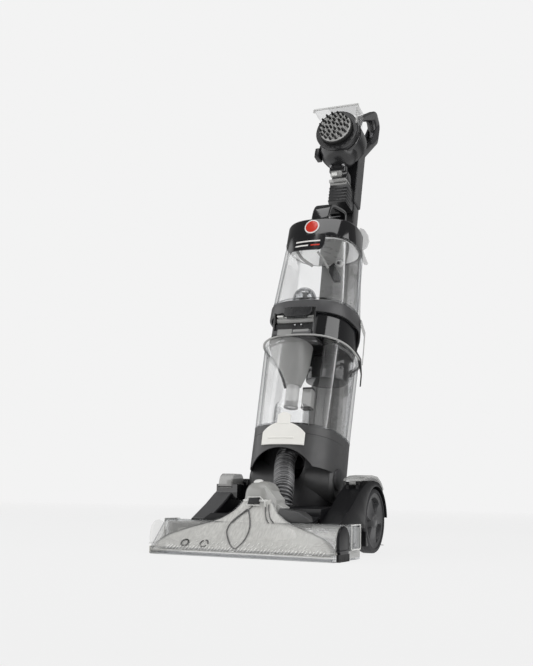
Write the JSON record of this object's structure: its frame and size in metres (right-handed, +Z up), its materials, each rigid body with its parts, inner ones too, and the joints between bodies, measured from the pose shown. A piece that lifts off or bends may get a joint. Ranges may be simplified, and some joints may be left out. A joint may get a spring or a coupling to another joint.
{
  "type": "upright carpet cleaner",
  "caption": "Upright carpet cleaner with a wheeled base, clear nozzle over brush rolls, stacked clear tanks, D-grip handle and a round brush hand tool.",
  "frame": {"origin": "on the floor below the centre of the machine's bounding box, parked upright", "axes": "+X to the machine's left as seen from behind it turned to face forward, which is the right of a viewer facing its nozzle; -Y towards the nozzle's front edge; +Z up from the floor"},
  "size_m": [0.372, 0.7656, 1.0887],
  "materials": {
    "black_gloss": "glossy moulded plastic",
    "dark_shell": "satin moulded plastic",
    "chassis_plastic": "textured plastic",
    "clear": "clear polycarbonate",
    "smoke": "translucent grey plastic",
    "ivory": "satin ivory plastic",
    "red_badge": "glossy red enamel",
    "soft_rubber": "matte rubber",
    "tyre_rubber": "matte tyre",
    "bristle": "nylon bristle",
    "steel": "plain steel",
    "motor_case": "painted motor case",
    "pulley_metal": "machined",
    "fan_plastic": "moulded fan",
    "grey_trigger": "satin grey plastic"
  },
  "bodies": {
    "base": {"base_chassis": "chassis_plastic", "base_cover": "black_gloss", "belt_cover": "dark_shell", "nozzle_sole": "dark_shell", "brush_housing": "dark_shell", "nozzle_hood": "clear", "nozzle_throat": "clear", "duct_elbow": "smoke", "edge_brushes": "bristle", "edge_brackets": "clear", "brush_motor": "motor_case", "belts": "soft_rubber", "pump": "dark_shell", "spray_bar": "chassis_plastic", "hose_port": "black_gloss", "axle_pins": "steel", "base_screws": "steel"},
    "upright": {"lower_casing": "dark_shell", "motor_housing": "dark_shell", "vacuum_motor": "motor_case", "vacuum_hose": "soft_rubber", "hose_cuff": "soft_rubber", "spine": "dark_shell", "solution_tube": "clear", "cord_gland": "chassis_plastic", "stem": "black_gloss", "handle_left": "dark_shell", "handle_right": "dark_shell", "handle_grip": "soft_rubber", "tool_cradle": "dark_shell"},
    "left_wheel": {"wheel_left": "dark_shell", "tyre_left": "tyre_rubber"},
    "right_wheel": {"wheel_right": "dark_shell", "tyre_right": "tyre_rubber"},
    "front_roll": {"brush_roll_front": "bristle"},
    "rear_roll": {"brush_roll_rear": "bristle"},
    "motor_rotor": {"motor_pulley": "pulley_metal"},
    "hose_port_cap": {"port_cap": "smoke"},
    "pedal": {"recline_pedal": "smoke"},
    "hood_latch": {"nozzle_latch": "dark_shell"},
    "fan": {"vacuum_fan": "fan_plastic"},
    "dirty_tank": {"recovery_tank": "clear", "tank_rim": "clear", "separator": "black_gloss", "funnel": "smoke", "tank_lid": "dark_shell"},
    "float": {"float_ball": "smoke"},
    "tank_latch": {"lid_latch": "black_gloss"},
    "release_tab": {"release_plate": "ivory"},
    "water_tank": {"clean_tank": "clear", "tank_cap": "black_gloss", "tank_handle": "black_gloss", "tank_valve": "clear", "badge": "red_badge"},
    "spray_trigger": {"trigger": "grey_trigger"},
    "switch": {"power_switch": "dark_shell"},
    "hook": {"cord_hook": "smoke"},
    "hand_tool": {"tool_body": "dark_shell", "tool_hood": "clear"},
    "tool_brush": {"brush_disc": "bristle"}
  },
  "joints": [
    {"name": "recline", "type": "hinge", "parent": "base", "child": "upright", "pos_m": [0, -0.07178, 0.063], "axis": [-1, 0, 0], "range_deg": [0, 50], "deforming": ["vacuum_hose"]},
    {"name": "left_wheel_spin", "type": "hinge", "parent": "base", "child": "left_wheel", "pos_m": [-0.135, -0.07178, 0.063], "axis": [1, 0, 0], "continuous": true},
    {"name": "right_wheel_spin", "type": "hinge", "parent": "base", "child": "right_wheel", "pos_m": [0.135, -0.07178, 0.063], "axis": [1, 0, 0], "continuous": true},
    {"name": "rear_roll_spin", "type": "hinge", "parent": "base", "child": "rear_roll", "pos_m": [0, -0.27778, 0.026], "axis": [1, 0, 0], "continuous": true},
    {"name": "front_roll_spin", "type": "hinge", "parent": "base", "child": "front_roll", "pos_m": [0, -0.32178, 0.026], "axis": [1, 0, 0], "continuous": true},
    {"name": "motor_spin", "type": "hinge", "parent": "base", "child": "motor_rotor", "pos_m": [0.1, -0.22778, 0.044], "axis": [1, 0, 0], "continuous": true},
    {"name": "port_cap_hinge", "type": "hinge", "parent": "base", "child": "hose_port_cap", "pos_m": [-0.123, -0.13678, 0.133], "axis": [-1, 0, 0], "range_deg": [0, 70]},
    {"name": "pedal_press", "type": "hinge", "parent": "base", "child": "pedal", "pos_m": [0.131, -0.15878, 0.134], "axis": [-1, 0, 0], "range_deg": [0, 1.7], "stiffness_Nm_per_rad": 6, "springref_deg": -6.88},
    {"name": "hood_latch_press", "type": "slide", "parent": "base", "child": "hood_latch", "axis": [0, 1, 0], "range_m": [0, 0.001], "stiffness_N_per_m": 600, "springref_m": -0.001},
    {"name": "fan_spin", "type": "hinge", "parent": "upright", "child": "fan", "pos_m": [0, -0.07123, 0.15032], "axis": [0, 0.2351, 0.972], "continuous": true},
    {"name": "dirty_tank_slide", "type": "slide", "parent": "upright", "child": "dirty_tank", "axis": [0, -0.972, 0.2351], "range_m": [0, 0.2]},
    {"name": "float_rise", "type": "slide", "parent": "dirty_tank", "child": "float", "axis": [0, 0.2351, 0.972], "range_m": [0, 0.008]},
    {"name": "tank_latch_press", "type": "slide", "parent": "dirty_tank", "child": "tank_latch", "axis": [0, 0.972, -0.2351], "range_m": [0, 0.0025], "stiffness_N_per_m": 500, "springref_m": -0.002},
    {"name": "release_tab_pull", "type": "hinge", "parent": "dirty_tank", "child": "release_tab", "pos_m": [0, -0.20624, 0.20253], "axis": [1, 0, 0], "range_deg": [0, 8], "stiffness_Nm_per_rad": 1, "springref_deg": -11.46},
    {"name": "water_tank_slide", "type": "slide", "parent": "upright", "child": "water_tank", "axis": [0, -0.972, 0.2351], "range_m": [0, 0.15]},
    {"name": "trigger_pull", "type": "hinge", "parent": "upright", "child": "spray_trigger", "pos_m": [0, 0.36027, 1.04083], "axis": [1, 0, 0], "range_deg": [0, 9], "stiffness_Nm_per_rad": 0.6, "springref_deg": -14.32},
    {"name": "power_rock", "type": "hinge", "parent": "upright", "child": "switch", "pos_m": [0, 0.21303, 0.91492], "axis": [1, 0, 0], "range_deg": [-5, 5]},
    {"name": "hook_turn", "type": "hinge", "parent": "upright", "child": "hook", "pos_m": [0, 0.16876, 0.70854], "axis": [0, 0.972, -0.2351], "range_deg": [0, 180]},
    {"name": "hand_tool_lift", "type": "slide", "parent": "upright", "child": "hand_tool", "axis": [0, 0.2351, 0.972], "range_m": [0, 0.06]},
    {"name": "tool_brush_spin", "type": "hinge", "parent": "hand_tool", "child": "tool_brush", "pos_m": [0, 0.08719, 0.94124], "axis": [0, 0.972, -0.2351], "continuous": true}
  ],
  "couplings": [
    {"joint": "front_roll_spin", "follows": "rear_roll_spin", "ratio": 1},
    {"joint": "motor_spin", "follows": "rear_roll_spin", "ratio": 1.3846}
  ]
}
